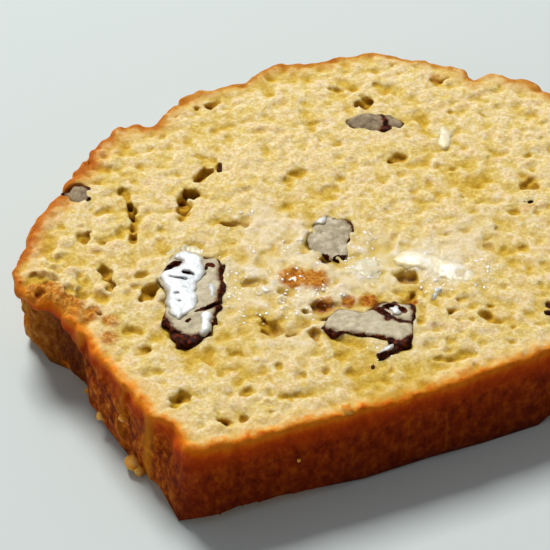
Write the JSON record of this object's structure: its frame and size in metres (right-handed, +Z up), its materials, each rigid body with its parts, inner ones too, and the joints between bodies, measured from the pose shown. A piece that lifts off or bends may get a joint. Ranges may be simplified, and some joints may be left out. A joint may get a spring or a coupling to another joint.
{
  "type": "green chile bread slice",
  "caption": "Slice of a domed loaf bread lying on its cut face, with an open crumb, pecan pieces set in it and butter melted on top.",
  "frame": {"origin": "middle of the slice's box, on the surface it lies on", "axes": "+Z up out of the upper cut face; +X along the loaf's base from the left side wall to the right one; +Y up the slice from the base crust to the domed top"},
  "size_m": [0.1198, 0.0949, 0.0189],
  "materials": {
    "bread": null,
    "pecan": "cream cut nut flesh inside a dark papery skin; wood stands in for nut",
    "butter": "glossy half-melted butter; gloss plastic stands in for butter"
  },
  "bodies": {
    "root": {"bread_slice": "bread", "pecan_left": "pecan", "pecan_right": "pecan", "pecan_right_fold": "pecan", "pecan_centre": "pecan", "pecan_rim": "pecan", "pecan_back": "pecan", "pecan_edge": "pecan", "pecan_chip_back": "pecan", "pecan_chip_far": "pecan", "butter_smear": "butter", "butter_dab": "butter"}
  },
  "joints": []
}
